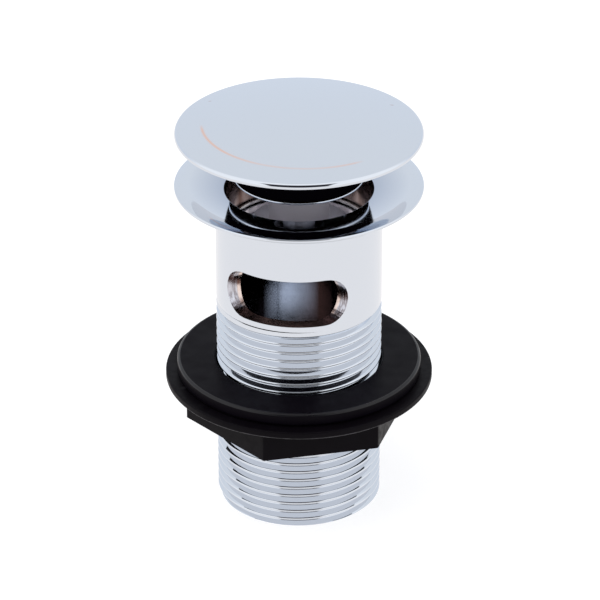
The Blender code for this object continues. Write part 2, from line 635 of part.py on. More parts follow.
def plug_seal():
    """Conical rubber seal round the cap's skirt, and the bright ring screwed under it."""
    seal_height = CAP_BASE - FIT - SEAL_BASE
    meet = CLOSED_GAP + DISH_FALL
    waist_height = CAP_BASE - meet - SEAL_BASE
    outline = [
        (SKIRT_RADIUS + FIT, seal_height),
        (SEAL_LIP_RADIUS, seal_height, 0.4),
        (THROAT_RADIUS - SEAL_FIT, waist_height),
        (SEAL_FOOT_RADIUS, 0.0, 0.4),
        (SKIRT_RADIUS + FIT, 0.0),
    ]
    seal = turned("plug_seal", outline, rubber, SEAL_BASE, steps=LARGE_STEPS)
    collar = SKIRT_RADIUS - SKIRT_WALL - FIT
    step_height = RETAINER_PLATE + RETAINER_STEP
    outline = [
        (collar - RETAINER_WALL, RETAINER_HEIGHT),
        (collar, RETAINER_HEIGHT),
        (collar, step_height),
        (SKIRT_RADIUS, step_height),
        (SKIRT_RADIUS, RETAINER_PLATE),
        (SEAL_FOOT_RADIUS, RETAINER_PLATE, 0.2),
        (SEAL_FOOT_RADIUS, 0.0),
        (collar - RETAINER_WALL, 0.0, 0.3),
    ]
    retainer = turned("seal_retainer", outline, chrome, RETAINER_BASE, steps=LARGE_STEPS)
    seal.parent = plug
    retainer.parent = plug


def backnut():
    """Hexagonal nut with a flange, and the rubber washer that lies on it."""
    flange_base = NUT_HEX_HEIGHT
    flange_top = NUT_HEX_HEIGHT + NUT_FLANGE_HEIGHT
    hex_top = flange_base + NUT_FLANGE_HEIGHT / 2
    nut = prism("backnut", hexagon(NUT_FLATS, NUT_TURN), 0.0, hex_top, nylon, NUT_REST)
    flange = [
        (0.0, flange_top),
        (NUT_FLANGE_RADIUS, flange_top, 0.4),
        (NUT_FLANGE_RADIUS, flange_base, 0.4),
        (0.0, flange_base),
    ]
    disc = turned("nut_flange_disc", flange, None, NUT_REST, closed=False, steps=LARGE_STEPS)
    combine(nut, disc, "UNION")
    hole = [
        (0.0, flange_top + CUT),
        (NUT_BORE + NUT_LEAD_IN, flange_top + CUT),
        (NUT_BORE, flange_top + CUT - NUT_LEAD_IN),
        (NUT_BORE, NUT_LEAD_IN - CUT),
        (NUT_BORE + NUT_LEAD_IN, -CUT),
        (0.0, -CUT),
    ]
    combine(nut, turned("nut_bore_cutter", hole, None, NUT_REST, closed=False, steps=LARGE_STEPS))
    washer_base = NUT_TOP + FIT
    washer = ring(NUT_BORE, WASHER_RADIUS, WASHER_HEIGHT, 0.3)
    turned("basin_washer", washer, rubber, washer_base, steps=LARGE_STEPS)


def settle(part):
    """Apply a part's modifiers, then shade it smooth between its sharp edges."""
    seen = part.evaluated_get(bpy.context.evaluated_depsgraph_get())
    mesh = bpy.data.meshes.new_from_object(seen)
    part.modifiers.clear()
    part.data = mesh
    mesh.shade_smooth()
    mesh.set_sharp_from_angle(angle=math.radians(30))


for old in list(bpy.data.objects):
    bpy.data.objects.remove(old, do_unlink=True)

parts = collection("pop_up_basin_waste")
cutters = collection("cutters")

chrome = material("chrome", (0.74, 0.76, 0.79), 0.08, 1.0)
spring_steel = material("spring_steel", (0.62, 0.62, 0.63), 0.25, 1.0)
rubber = material("black_rubber", (0.012, 0.012, 0.014), 0.45, 0.0)
plastic = material("white_plastic", (0.75, 0.75, 0.73), 0.4, 0.0)
nylon = material("black_nylon", (0.012, 0.012, 0.014), 0.35, 0.0)

plug = bpy.data.objects.new("plug_slide", None)
parts.objects.link(plug)

waste_body()
mechanism_bridge()
clicker_barrel()
guide_bush()
cam_ring()
return_spring()
plug_spindle()
plug_cap()
plug_seal()
backnut()

for part in [o for o in parts.objects if o.type == "MESH"]:
    settle(part)
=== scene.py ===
# %% [markdown]
# # A pop-up basin waste
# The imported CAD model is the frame: it fixes every size and every moving body. The script hides
# the CAD solids that show, builds finer pieces in their places, and gives the rest their finish.
# Radii and heights come from the CAD boxes where a box gives them, so a piece can't drift off
# the part that it stands for.

# %% The frame and its driving sizes
import math

import bmesh
import bpy
from mathutils import Matrix, Vector


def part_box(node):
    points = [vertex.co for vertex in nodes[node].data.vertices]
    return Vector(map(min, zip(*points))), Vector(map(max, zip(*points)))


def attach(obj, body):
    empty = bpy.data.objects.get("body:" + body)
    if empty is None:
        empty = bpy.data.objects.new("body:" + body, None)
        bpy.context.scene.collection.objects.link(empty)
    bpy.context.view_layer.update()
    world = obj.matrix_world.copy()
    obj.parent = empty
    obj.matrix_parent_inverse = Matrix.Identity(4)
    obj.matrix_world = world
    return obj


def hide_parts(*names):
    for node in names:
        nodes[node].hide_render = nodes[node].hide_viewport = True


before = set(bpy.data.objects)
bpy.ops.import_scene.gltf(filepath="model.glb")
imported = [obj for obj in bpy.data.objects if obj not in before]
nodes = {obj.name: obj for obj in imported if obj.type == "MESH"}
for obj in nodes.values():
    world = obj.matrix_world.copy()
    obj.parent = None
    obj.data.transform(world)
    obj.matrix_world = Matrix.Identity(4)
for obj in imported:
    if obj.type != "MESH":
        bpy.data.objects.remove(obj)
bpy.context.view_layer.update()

MM = 0.001


def height(node, end=1):
    """Lowest (0) or highest (1) point of a CAD node, in millimetres."""
    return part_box(node)[end].z / MM


def radius(node):
    """Outer radius of a CAD node, in millimetres."""
    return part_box(node)[1].x / MM


# %% [markdown]
# The camera looks down on the plug from the front. Its distance and tilt were worked out from
# the outlines of the cap, flange, tail and nut: a long lens, so that the circles hardly differ
# in shape from top to bottom. The small shift puts the waste's axis where the picture has it.

# %% Camera
AIM_HEIGHT = 54.42           # the point on the axis at the middle of the picture
CAMERA_DISTANCE = 882.1
CAMERA_TILT = math.radians(28.56)
PICTURE_WIDTH = 600
FOCAL_PIXELS = 3485.5
AXIS_COLUMN = 299.0

camera_data = bpy.data.cameras.new("camera")
camera_data.sensor_width = 36.0
camera_data.lens = camera_data.sensor_width * FOCAL_PIXELS / PICTURE_WIDTH
camera_data.shift_x = (PICTURE_WIDTH / 2 - AXIS_COLUMN) / PICTURE_WIDTH
camera = bpy.data.objects.new("camera", camera_data)
camera.location = (0.0, -CAMERA_DISTANCE * math.cos(CAMERA_TILT) * MM,
                   (AIM_HEIGHT + CAMERA_DISTANCE * math.sin(CAMERA_TILT)) * MM)
camera.rotation_euler = (math.pi / 2 - CAMERA_TILT, 0.0, 0.0)
bpy.context.scene.collection.objects.link(camera)
bpy.context.scene.camera = camera
bpy.context.scene.view_settings.view_transform = "Standard"
print("lens in mm:", round(camera_data.lens, 1))

# %% [markdown]
# A material here is a small net of nodes. A few helpers keep each net short: one adds a node and
# sets its sockets, one makes a new material with its shader, and the others measure a place on
# the object or blend by what was measured. Values that are the same all over a surface stay on
# the shader's own sockets, where an export can find them.


# %% Helpers for materials
def add(tree, kind, **values):
    """Add a node. A keyword that names one of its properties sets it; the others are sockets."""
    node = tree.nodes.new(kind)
    for key, value in values.items():
        if hasattr(node, key):
            setattr(node, key, value)
        else:
            node.inputs[key.replace("_", " ")].default_value = value
    return node


def finish(name, colour, metallic, roughness, **sockets):
    """A new material, its net of nodes and its shader."""
    made = bpy.data.materials.new(name)
    made.use_nodes = True
    made.diffuse_color = (*colour, 1.0)
    shader = made.node_tree.nodes["Principled BSDF"]
    shader.inputs["Base Color"].default_value = (*colour, 1.0)
    shader.inputs["Metallic"].default_value = metallic
    shader.inputs["Roughness"].default_value = roughness
    for key, value in sockets.items():
        shader.inputs[key.replace("_", " ")].default_value = value
    return made, made.node_tree, shader


def noise_on(tree, scale, stretch=(1.0, 1.0, 1.0), detail=3.0):
    """Noise on Object coordinates, stretched along the axes."""
    place = add(tree, "ShaderNodeTexCoord")
    mapping = add(tree, "ShaderNodeMapping", Scale=stretch)
    noise = add(tree, "ShaderNodeTexNoise", Scale=scale, Detail=detail)
    tree.links.new(place.outputs["Object"], mapping.inputs["Vector"])
    tree.links.new(mapping.outputs["Vector"], noise.inputs["Vector"])
    return noise.outputs["Fac"]


def axes_of(tree, kind="Object"):
    """The coordinates of a place, on sockets named X, Y and Z."""
    place = add(tree, "ShaderNodeTexCoord")
    split = add(tree, "ShaderNodeSeparateXYZ")
    tree.links.new(place.outputs[kind], split.inputs["Vector"])
    return split.outputs


def off_line(tree, middle=(0.0, 0.0)):
    """Distance of a place from an upright line."""
    place = add(tree, "ShaderNodeTexCoord")
    shift = add(tree, "ShaderNodeVectorMath", operation="SUBTRACT")
    shift.inputs[1].default_value = (middle[0] * MM, middle[1] * MM, 0.0)
    flat = add(tree, "ShaderNodeVectorMath", operation="MULTIPLY")
    flat.inputs[1].default_value = (1.0, 1.0, 0.0)
    length = add(tree, "ShaderNodeVectorMath", operation="LENGTH")
    tree.links.new(place.outputs["Object"], shift.inputs[0])
    tree.links.new(shift.outputs["Vector"], flat.inputs[0])
    tree.links.new(flat.outputs["Vector"], length.inputs[0])
    return length.outputs["Value"]


def maths(tree, operation, *values, clamp=False):
    """One step of arithmetic. Each value is a number or a socket."""
    node = add(tree, "ShaderNodeMath", operation=operation, use_clamp=clamp)
    for socket, value in zip(node.inputs, values):
        if isinstance(value, float):
            socket.default_value = value
        else:
            tree.links.new(value, socket)
    return node.outputs[0]


def times(tree, one, other):
    """The product of two shares."""
    return maths(tree, "MULTIPLY", one, other, clamp=True)


def spread(tree, value, low, high, start=0.3, stop=0.7):
    """Stretch a value between two limits."""
    node = add(tree, "ShaderNodeMapRange")
    for key, number in (("From Min", start), ("From Max", stop), ("To Min", low), ("To Max", high)):
        node.inputs[key].default_value = number
    tree.links.new(value, node.inputs["Value"])
    return node.outputs["Result"]


def ramp(tree, length, places, low=0.0, high=1.0):
    """Stretch a length between two limits. The two places are in millimetres."""
    return spread(tree, length, low, high, start=places[0] * MM, stop=places[1] * MM)


def near(tree, middle, wanted, width):
    """One where a point lies at a distance from an upright line, falling to nothing at a width."""
    gap = maths(tree, "ABSOLUTE", maths(tree, "SUBTRACT", off_line(tree, middle), wanted * MM))
    return ramp(tree, gap, (0.0, width), 1.0, 0.0)


def tint(tree, share, low, high):
    """Blend two colours by a share."""
    node = add(tree, "ShaderNodeMix", data_type="RGBA")
    node.inputs["A"].default_value = (*low, 1.0)
    node.inputs["B"].default_value = (*high, 1.0)
    tree.links.new(share, node.inputs["Factor"])
    return node.outputs["Result"]


def over(tree, below, share, colour):
    """Lay a colour over a blended one by a share."""
    laid = tint(tree, share, colour, colour)
    tree.links.new(below, laid.node.inputs["A"])
    return laid


def blend(tree, share, one, other):
    """Blend two shaders by a share."""
    node = add(tree, "ShaderNodeMixShader")
    tree.links.new(share, node.inputs["Fac"])
    tree.links.new(one, node.inputs[1])
    tree.links.new(other, node.inputs[2])
    return node.outputs[0]


def paint(tree, shader, colour):
    """Let a blended colour be the surface's own."""
    tree.links.new(colour, shader.inputs["Base Color"])


def rough(tree, shader, value, low, high):
    """Roughness from a value, between two limits."""
    tree.links.new(spread(tree, value, low, high), shader.inputs["Roughness"])


def relief(tree, shader, value, strength, depth):
    """Bump from a value. The depth is in millimetres."""
    bump = add(tree, "ShaderNodeBump", Strength=strength, Distance=depth * MM)
    tree.links.new(value, bump.inputs["Height"])
    tree.links.new(bump.outputs["Normal"], shader.inputs["Normal"])


# %% [markdown]
# Chrome plate on polished brass takes nearly all its colour from the room. The tail and the
# flange's rim are bright and even. The cap has the same plate with marks of use: a polishing
# wheel left a warm arc on its front, whole at the left and patchy from there on, and there are
# two small worn spots. The flange's dish is darker towards the throat: painted shade under the cap.

# %% Polished chrome
CHROME = (0.69, 0.73, 0.79)
POLISH = (0.03, 0.09)        # limits of its roughness
ARC_MIDDLE = (1.14, 1.31)
ARC_RADIUS = 25.23
ARC_WIDTH = 0.55
ARC_TINT = (0.86, 0.56, 0.46)
ARC_LEAN = 0.495             # slope of the line where the arc stops
ARC_STOP = (-14.2, -11.4)    # where it runs out, behind that line
ARC_WHOLE = (-22.0, -9.0)    # whole to the left of the first, patchy to the right of the second
SPOTS = ((23.2, 12.4, 0.35), (-22.3, 14.8, 0.3))
SPOT_TINT = (0.60, 0.55, 0.58)
# painted shade of the dish, darkest at the throat
DISH_SHADE_TINT = (0.46, 0.51, 0.61)
DISH_SHADE_FADE = (18.5, 27.5)     # radii between which the dish's painted shade gives way to plain chrome

chrome, tree, shader = finish("polished chrome", CHROME, 1.0, 0.05)
rough(tree, shader, noise_on(tree, 60.0), *POLISH)
relief(tree, shader, noise_on(tree, 220.0, detail=1.0), 0.08, 0.01)

cap_chrome, tree, shader = finish("worn chrome", CHROME, 1.0, 0.05)
axes = axes_of(tree)
arc = near(tree, ARC_MIDDLE, ARC_RADIUS, ARC_WIDTH)
in_front = ramp(tree, maths(tree, "MULTIPLY_ADD", axes["X"], ARC_LEAN, axes["Y"]), ARC_STOP, 1.0, 0.0)
patches = spread(tree, noise_on(tree, 110.0), 0.1, 0.6)
strength = maths(tree, "ADD", ramp(tree, axes["X"], ARC_WHOLE, 1.0, 0.0), patches, clamp=True)
colour = tint(tree, times(tree, times(tree, arc, in_front), strength), CHROME, ARC_TINT)
for x, y, size in SPOTS:
    colour = over(tree, colour, near(tree, (x, y), 0.0, size * 2), SPOT_TINT)
paint(tree, shader, colour)
rough(tree, shader, noise_on(tree, 60.0), *POLISH)
relief(tree, shader, noise_on(tree, 220.0, detail=1.0), 0.08, 0.01)

# painted shade: the dish darkens towards the throat, under the cap
shaded_dish_chrome, tree, shader = finish("chrome of the dish with painted shade", CHROME, 1.0, 0.05)
paint(tree, shader, tint(tree, ramp(tree, off_line(tree), DISH_SHADE_FADE), DISH_SHADE_TINT, CHROME))
rough(tree, shader, noise_on(tree, 60.0), *POLISH)
print("chrome finishes:", chrome.name, cap_chrome.name, shaded_dish_chrome.name)

# %% [markdown]
# Inside, the plate is thin over bare brass, so it is darker and warmer. What a slot shows of the
# bore behind it is painted light and shade: a painted highlight at its left, which dies away
# downwards, and painted shade, brown, that turns black at its right. Both run across the slot, so
# "across" below is the way from left to right as one looks in through either slot. A milling
# cutter leaves the slot's walls with upright marks; their light and dark stripes are painted
# reflection, the warm edge at the bore is a painted highlight and the dark sill is painted shade.

# %% Plate and brass inside the tail, with painted light and shade
# painted highlight and painted shade on the bore's wall, seen through the slots
PAINTED_GLEAM_LEFT = (-9.2, -4.0)
PAINTED_GLEAM_RIGHT = (-2.4, 5.2)
PAINTED_GLEAM_FADE = (37.0, 47.0)    # heights between which the painted gleam comes up
PAINTED_GLEAM_TINT = (0.74, 0.80, 0.92)
BORE_SHADE_LEFT = (-5.0, 2.0)
BORE_SHADE_RIGHT = (3.5, 9.0)
BORE_SHADE_TINTS = ((0.006, 0.004, 0.005), (0.085, 0.042, 0.034))
DEEP = (31.0, 35.0)          # the bore is plain chrome below these heights
LIP = (18.3, 18.7)           # radii of the painted highlight on the slot's edge at the bore
LIP_HIGHLIGHT_TINT = (0.80, 0.66, 0.60)
SILL = (58.7, 59.5)          # heights of the painted shade on the slot's sill
SILL_SHADE_TINT = (0.17, 0.10, 0.085)

bore_metal, tree, shader = finish("plate in the bore with painted light and shade", (0.66, 0.70, 0.76), 1.0, 0.12)
axes = axes_of(tree)
# painted shade, black to brown across the wall, with a painted highlight laid over it
across = maths(tree, "MULTIPLY", axes["X"], maths(tree, "SIGN", axes["Y"]))
bore_shade = times(tree, ramp(tree, across, BORE_SHADE_LEFT), ramp(tree, across, BORE_SHADE_RIGHT, 1.0, 0.15))
painted_gleam = times(tree, ramp(tree, across, PAINTED_GLEAM_LEFT), ramp(tree, across, PAINTED_GLEAM_RIGHT, 1.0, 0.0))
painted_gleam = times(tree, painted_gleam, ramp(tree, axes["Z"], PAINTED_GLEAM_FADE, 0.08, 1.0))
colour = over(tree, tint(tree, bore_shade, *BORE_SHADE_TINTS), painted_gleam, PAINTED_GLEAM_TINT)
colour = over(tree, colour, ramp(tree, axes["Z"], DEEP, 1.0, 0.0), CHROME)
paint(tree, shader, colour)
rough(tree, shader, noise_on(tree, 140.0), 0.08, 0.16)

throat_metal, tree, shader = finish("bare brass in the throat", (0.36, 0.26, 0.23), 1.0, 0.12)
streaks = spread(tree, noise_on(tree, 170.0, stretch=(1.0, 1.0, 0.12)), 0.0, 1.0)
paint(tree, shader, tint(tree, streaks, (0.10, 0.055, 0.045), (0.40, 0.33, 0.33)))
rough(tree, shader, noise_on(tree, 140.0), 0.14, 0.26)

# painted shade: near black, standing for the shade under the plug
shade_under_plug, tree, shader = finish("painted shade under the plug", (0.01, 0.006, 0.005), 0.0, 0.6,
                                  Specular_IOR_Level=0.0)
paint(tree, shader, tint(tree, noise_on(tree, 120.0), (0.006, 0.0035, 0.003), (0.015, 0.009, 0.008)))

# The upright tool marks are real in roughness and bump; their light and dark stripes are painted reflection,
# the warm edge a painted highlight and the dark sill painted shade.
milled, tree, shader = finish("milled edge with painted light and shade", (0.62, 0.58, 0.60), 1.0, 0.2)
marks_and_reflection = noise_on(tree, 300.0, stretch=(6.0, 6.0, 0.15), detail=2.0)
colour = tint(tree, spread(tree, marks_and_reflection, 0.0, 1.0), (0.22, 0.19, 0.20), (0.74, 0.75, 0.82))
colour = over(tree, colour, ramp(tree, off_line(tree), LIP, 1.0, 0.0), LIP_HIGHLIGHT_TINT)
colour = over(tree, colour, ramp(tree, axes_of(tree)["Z"], SILL, 1.0, 0.0), SILL_SHADE_TINT)
paint(tree, shader, colour)
rough(tree, shader, marks_and_reflection, 0.12, 0.28)
relief(tree, shader, marks_and_reflection, 0.35, 0.05)
print("inside finishes:", bore_metal.name, throat_metal.name, shade_under_plug.name, milled.name)

# %% [markdown]
# The click mechanism is steel. Its barrel has a pale satin plate, the web, the spindle and the
# lock nut a brighter one, and the spring, rings and washers are bare spring steel.

# %% Steel pieces
satin, tree, shader = finish("satin zinc", (0.86, 0.83, 0.93), 0.0, 0.42)
rough(tree, shader, noise_on(tree, 160.0), 0.36, 0.48)
relief(tree, shader, noise_on(tree, 90.0, stretch=(1.0, 1.0, 12.0)), 0.1, 0.02)

plated_steel, tree, shader = finish("plated steel", (0.70, 0.68, 0.74), 1.0, 0.4)
rough(tree, shader, noise_on(tree, 160.0), 0.34, 0.46)
relief(tree, shader, noise_on(tree, 90.0, stretch=(1.0, 1.0, 12.0)), 0.1, 0.02)

spring_wire, tree, shader = finish("spring steel", (0.55, 0.55, 0.56), 1.0, 0.28)
rough(tree, shader, noise_on(tree, 400.0), 0.22, 0.36)
relief(tree, shader, noise_on(tree, 700.0), 0.15, 0.02)
print("steel finishes:", satin.name, plated_steel.name, spring_wire.name)

# %% [markdown]
# Rubber and nylon are both black, and they differ in how they catch the light. The washer is
# smooth rubber with a little bloom, burnished at its upper edge, and the seal is duller. The nut
# is moulded nylon with a fine grain, scuffed at its flange's lower edge. The small guide pieces
# are white acetal.

# %% Rubber and plastic
rubber, tree, shader = finish("black rubber", (0.0015, 0.0015, 0.002), 0.0, 0.42, Specular_IOR_Level=0.05)
paint(tree, shader, tint(tree, noise_on(tree, 120.0, detail=6.0),
                         (0.0022, 0.0014, 0.003), (0.004, 0.0026, 0.0055)))
rough(tree, shader, noise_on(tree, 200.0, detail=5.0), 0.34, 0.52)
relief(tree, shader, noise_on(tree, 900.0), 0.12, 0.03)

nylon, tree, shader = finish("black nylon", (0.0018, 0.0018, 0.0022), 0.0, 0.4, Specular_IOR_Level=0.06)
paint(tree, shader, tint(tree, noise_on(tree, 260.0, detail=4.0),
                         (0.0026, 0.0018, 0.003), (0.005, 0.0036, 0.0056)))
rough(tree, shader, noise_on(tree, 500.0), 0.32, 0.5)
relief(tree, shader, noise_on(tree, 1400.0, detail=2.0), 0.2, 0.03)

scuffed, tree, shader = finish("scuffed nylon", (0.02, 0.02, 0.022), 0.0, 0.5, Specular_IOR_Level=0.2)
paint(tree, shader, tint(tree, spread(tree, noise_on(tree, 420.0, detail=4.0), 0.0, 1.0),
                         (0.003, 0.0025, 0.0035), (0.075, 0.07, 0.078)))

burnished, tree, shader = finish("burnished rubber", (0.004, 0.003, 0.005), 0.0, 0.3,
                                 Specular_IOR_Level=0.35)
rough(tree, shader, noise_on(tree, 200.0, detail=5.0), 0.26, 0.4)

dull_rubber, tree, shader = finish("dull rubber", (0.003, 0.002, 0.004), 0.0, 0.6, Specular_IOR_Level=0.0)
paint(tree, shader, tint(tree, noise_on(tree, 120.0, detail=6.0),
                         (0.0018, 0.0012, 0.0024), (0.003, 0.0022, 0.004)))

acetal, tree, shader = finish("white acetal", (0.72, 0.72, 0.70), 0.0, 0.38)
paint(tree, shader, tint(tree, noise_on(tree, 300.0), (0.70, 0.70, 0.68), (0.75, 0.75, 0.73)))
print("dull finishes:", rubber.name, nylon.name, scuffed.name, burnished.name, dull_rubber.name, acetal.name)

# %% [markdown]
# The pictured waste stands on nothing that can be seen: the ground is white, and polished metal
# shows white all round it but for the dark place behind the camera, which draws dark lines in
# every rounded edge that faces it. The world has that dark patch for reflections only, below
# a sky that is brighter at its sides. The camera itself sees plain white.

# %% World
WHITE = (1.0, 1.0, 1.0, 1.0)
PATCH_HALF_WIDTH = 0.47      # sine of the angle from the camera's direction to the patch's edge
PATCH_BLUR = 0.06
PATCH_TINT = (0.035, 0.033, 0.04)
SKY_LOW = (0.80, 0.86, 0.95)
SKY_HIGH = (0.86, 0.89, 0.93)
SKY_SIDES = (1.12, 1.13, 1.15)
SKY_LIGHT = (0.97, 0.98, 1.0)      # of the light that falls on dull surfaces
SKY_STRENGTH = 0.85

world = bpy.data.worlds.new("white room")
bpy.context.scene.world = world
world.use_nodes = True
tree = world.node_tree
tree.nodes.clear()
axes = axes_of(tree, "Generated")
rise = spread(tree, axes["Z"], 0.0, 1.0, start=0.0, stop=0.6)
backwards = spread(tree, axes["Y"], 0.0, 1.0, start=0.1, stop=0.45)
sky = tint(tree, backwards, SKY_SIDES, SKY_HIGH)
tree.links.new(tint(tree, rise, SKY_LOW, SKY_HIGH), sky.node.inputs["B"])
front = spread(tree, axes["Y"], 1.0, 0.0, start=-0.5, stop=-0.35)
inside = spread(tree, maths(tree, "ABSOLUTE", axes["X"]), 1.0, 0.0,
                start=PATCH_HALF_WIDTH - PATCH_BLUR, stop=PATCH_HALF_WIDTH)
above = spread(tree, axes["Z"], 0.0, 1.0, start=0.02, stop=0.10)
patch = maths(tree, "MULTIPLY", maths(tree, "MULTIPLY", front, inside), above)
seen = add(tree, "ShaderNodeLightPath").outputs
lit = add(tree, "ShaderNodeBackground", Color=(*SKY_LIGHT, 1.0), Strength=SKY_STRENGTH)
mirrored = add(tree, "ShaderNodeBackground", Strength=1.0)
tree.links.new(over(tree, sky, patch, PATCH_TINT), mirrored.inputs["Color"])
behind = add(tree, "ShaderNodeBackground", Color=WHITE, Strength=1.0)
glossy = blend(tree, seen["Is Glossy Ray"], lit.outputs[0], mirrored.outputs[0])
direct = blend(tree, seen["Is Camera Ray"], glossy, behind.outputs[0])
output = add(tree, "ShaderNodeOutputWorld")
tree.links.new(direct, output.inputs["Surface"])
print("world is up")

# %% [markdown]
# The floor is a plain pale sheet that glows a little to the camera and in reflections, so it
# looks white and still takes the part's soft shadow. From below it can't be seen. One large soft
# light hangs at the left.

# %% Floor and light
FLOOR_TINT = (0.62, 0.62, 0.63)
FLOOR_GLOW = 0.62
FLOOR_GLOW_MIRRORED = 1.038
FLOOR_TINT_MIRRORED = (1.0, 0.974, 0.964)    # a little warm where metal mirrors it
FLOOR_DROP = 0.00005         # the floor lies this far under the tail's end, metres
FLOOR_SIZE = 4.0
KEY_PLACE = (-0.7, -0.5, 1.3)
KEY_AIM = (0.0, 0.0, 0.05)
KEY_SIZE = 0.9
KEY_POWER = 3.0

floor_white = bpy.data.materials.new("pale floor")
floor_white.use_nodes = True
tree = floor_white.node_tree
tree.nodes.clear()
seen = add(tree, "ShaderNodeLightPath").outputs
matt = add(tree, "ShaderNodeBsdfDiffuse", Color=(*FLOOR_TINT, 1.0))
glow = add(tree, "ShaderNodeEmission", Color=WHITE)
tree.links.new(maths(tree, "MULTIPLY", seen["Is Camera Ray"], FLOOR_GLOW), glow.inputs["Strength"])
both = add(tree, "ShaderNodeAddShader")
tree.links.new(matt.outputs[0], both.inputs[0])
tree.links.new(glow.outputs[0], both.inputs[1])
table = add(tree, "ShaderNodeEmission", Color=(*FLOOR_TINT_MIRRORED, 1.0), Strength=FLOOR_GLOW_MIRRORED)
either = blend(tree, seen["Is Glossy Ray"], both.outputs[0], table.outputs[0])
clear = add(tree, "ShaderNodeBsdfTransparent", Color=WHITE)
from_below = add(tree, "ShaderNodeNewGeometry").outputs["Backfacing"]
output = add(tree, "ShaderNodeOutputMaterial")
tree.links.new(blend(tree, from_below, either, clear.outputs[0]), output.inputs["Surface"])

form = bmesh.new()
bmesh.ops.create_grid(form, x_segments=1, y_segments=1, size=FLOOR_SIZE)
bmesh.ops.translate(form, verts=form.verts, vec=(0.0, 0.0, -FLOOR_DROP))
mesh = bpy.data.meshes.new("floor")
form.to_mesh(mesh)
form.free()
floor = bpy.data.objects.new("floor", mesh)
mesh.materials.append(floor_white)
bpy.context.scene.collection.objects.link(floor)

key_data = bpy.data.lights.new("soft key", "AREA")
key_data.energy = KEY_POWER
key_data.size = KEY_SIZE
key = bpy.data.objects.new("soft key", key_data)
key.visible_glossy = False
key.location = KEY_PLACE
key.rotation_euler = (Vector(KEY_AIM) - Vector(KEY_PLACE)).to_track_quat("-Z", "Y").to_euler()
bpy.context.scene.collection.objects.link(key)
print("floor and light are up")

# %% [markdown]
# Nearly every piece of a waste is turned on a lathe, so one helper turns an outline about the
# axis with the spin operator, and another eases the sharp rings that a turner would break with
# a file. A weighted-normal modifier keeps the wide faces flat in their reflections beside the
# narrow eased edges.

# %% Helpers for shapes
STEPS = 160                  # facets round the large turned pieces
SMALL_STEPS = 72
MERGE = 0.004                # points closer than this are one
RING_SLACK = 0.02            # a point this near to a ring is on it
SHARP = 35.0                 # edges that turn by more than this stay sharp, degrees


def wire(form, outline, closed=False):
    """Draw an outline of (radius, height) in the XZ plane."""
    points = [form.verts.new((r * MM, 0.0, z * MM)) for r, z in outline]
    lines = [form.edges.new(pair) for pair in zip(points, points[1:])]
    if closed:
        lines.append(form.edges.new((points[-1], points[0])))
    return points + lines


def turn(form, geometry, steps=STEPS, lift=0.0):
    """Spin a wire once round the axis. A lift makes it climb as a screw does."""
    bmesh.ops.spin(form, geom=geometry, cent=(0, 0, 0), axis=(0, 0, 1), dvec=(0, 0, lift * MM / steps),
                   angle=2 * math.pi, steps=steps, use_merge=lift == 0.0, use_duplicate=False)
    bmesh.ops.remove_doubles(form, verts=form.verts, dist=MERGE * MM)


def reach(vertex):
    """Distance of a point from the axis, in millimetres."""
    return math.hypot(vertex.co.x, vertex.co.y) / MM


def bevel(form, edges, width, segments):
    """Round off some edges."""
    bmesh.ops.bevel(form, geom=edges, offset=width * MM, offset_type="OFFSET", segments=segments,
                    profile=0.5, affect="EDGES", clamp_overlap=True, material=-1)


def ease(form, r, z, width, segments=3):
    """Round off the ring of edges at a radius and height."""
    def on_ring(vertex):
        return abs(reach(vertex) - r) < RING_SLACK and abs(vertex.co.z / MM - z) < RING_SLACK
    bevel(form, [edge for edge in form.edges if all(on_ring(v) for v in edge.verts)], width, segments)


def piece(name, form, finishes, body, replaced):
    """Make a mesh object of a form, hang it on its body and hide the CAD node it stands for."""
    bmesh.ops.remove_doubles(form, verts=form.verts, dist=MERGE * MM)
    bmesh.ops.recalc_face_normals(form, faces=form.faces)
    open_edges = sum(1 for edge in form.edges if not edge.is_manifold)
    mesh = bpy.data.meshes.new(name)
    form.to_mesh(mesh)
    form.free()
    for material in finishes:
        mesh.materials.append(material)
    mesh.shade_smooth()
    mesh.set_sharp_from_angle(angle=math.radians(SHARP))
    made = bpy.data.objects.new(name, mesh)
    bpy.context.scene.collection.objects.link(made)
    even = made.modifiers.new("Even normals", "WEIGHTED_NORMAL")
    even.keep_sharp = True
    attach(made, body)
    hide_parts(replaced)
    print(f"{name}: {len(mesh.polygons)} faces, {open_edges} open edges")


# %% [markdown]
# The plug's cap is a shallow dome that a press forms and a lathe trims: a thin rim with a soft
# edge above and a tighter one below. Under it hang the skirt that the seal sits on and the boss
# that takes the spindle. The outline runs from the crown to the rim and back under the dome.

# %% Cap
CAP_EDGE = 1.3
CAP_SKIN = 2.6
SKIRT_RADIUS = 14.6
SKIRT_WALL = 2.2
BOSS_RADIUS = 6.0
STUD_HOLE = 3.3
CLEARANCE = 0.3              # between pieces that screw or press together
DOME_STEPS = 16

cap_radius = radius("plug_cap")
cap_apex = height("plug_cap")
skirt_foot = height("plug_cap", 0)
cap_base = height("plug_seal") + CLEARANCE
crown = cap_apex - cap_base - CAP_EDGE
dome_radius = (cap_radius ** 2 + crown ** 2) / (2 * crown)


def dome(r):
    """Height of the cap's upper face at a radius."""
    return cap_apex - dome_radius + math.sqrt(dome_radius ** 2 - r ** 2)


